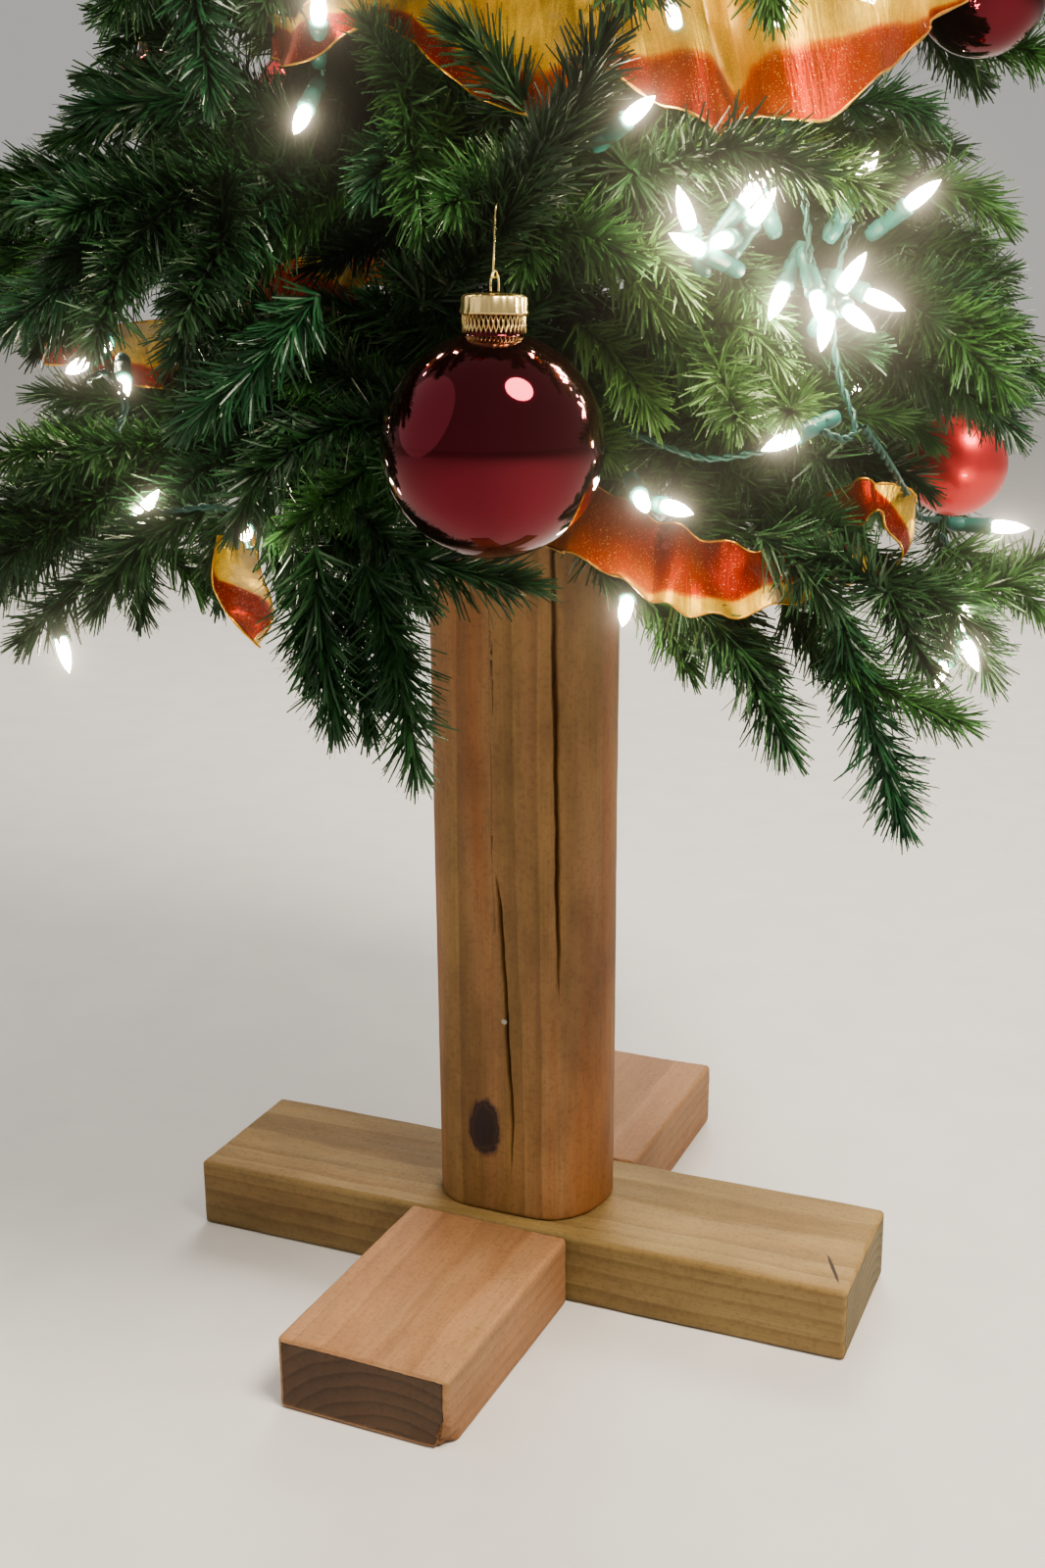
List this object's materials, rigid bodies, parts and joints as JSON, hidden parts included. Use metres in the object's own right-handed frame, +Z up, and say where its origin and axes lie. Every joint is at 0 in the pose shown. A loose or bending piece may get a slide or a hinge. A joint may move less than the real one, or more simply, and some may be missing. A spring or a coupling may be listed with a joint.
{
  "type": "artificial christmas tree",
  "caption": "Small artificial Christmas tree with tiers of green needle boughs on a steel pole, set in a timber post on a cross of boards.",
  "frame": {"origin": "on the pole's axis, at the level of the boards' flat underside, under the middle of the long board", "axes": "+Z up along the pole, +X along the long board, +Y along the two short boards, away from the front one"},
  "size_m": [0.556, 0.5503, 1.5],
  "materials": {
    "board_long": "sawn pine with a greenish-yellow tint, dull",
    "board_short": "sawn pine, pinkish tan, dull",
    "post": "weathered treated pine, checked and knotted, dull",
    "pole": "dark green enamel",
    "needles": "cut PVC film, slightly glossy",
    "ornament": "mirror-bright dark red lacquer",
    "ornament_cap": "bright pressed metal",
    "ribbon": "sheer, woven, with glitter",
    "light_wire": "soft green plastic",
    "light_bulb": "clear lamp, lit warm white"
  },
  "bodies": {
    "root": {"foliage_1_1": "needles", "foliage_1_2": "needles", "foliage_1_3": "needles", "foliage_1_4": "needles", "foliage_1_5": "needles", "foliage_1_6": "needles", "foliage_1_7": "needles", "foliage_2_1": "needles", "foliage_2_2": "needles", "foliage_2_3": "needles", "foliage_2_4": "needles", "foliage_2_5": "needles", "foliage_2_6": "needles", "foliage_2_7": "needles", "foliage_3_1": "needles", "foliage_3_2": "needles", "foliage_3_3": "needles", "foliage_3_4": "needles", "foliage_3_5": "needles", "foliage_3_6": "needles", "foliage_4_1": "needles", "foliage_4_2": "needles", "foliage_4_3": "needles", "foliage_4_4": "needles", "foliage_4_5": "needles", "foliage_4_6": "needles", "foliage_5_1": "needles", "foliage_5_2": "needles", "foliage_5_3": "needles", "foliage_5_4": "needles", "foliage_5_5": "needles", "foliage_6_1": "needles", "foliage_6_2": "needles", "foliage_6_3": "needles", "foliage_6_4": "needles", "foliage_6_5": "needles", "foliage_7_1": "needles", "foliage_7_2": "needles", "foliage_7_3": "needles", "foliage_7_4": "needles", "foliage_8_1": "needles", "foliage_8_2": "needles", "foliage_8_3": "needles", "foliage_9_1": "needles", "foliage_9_2": "needles", "foliage_9_3": "needles", "foliage_leader": "needles", "stand_board_front": "board_short", "stand_board_long": "board_long", "stand_board_rear": "board_short", "stand_post": "post", "tip_hanging_1": "needles", "tip_hanging_2": "needles", "tip_hanging_3": "needles", "tip_hanging_4": "needles", "tip_hanging_5": "needles", "trunk_pole": "pole"}
  },
  "joints": []
}
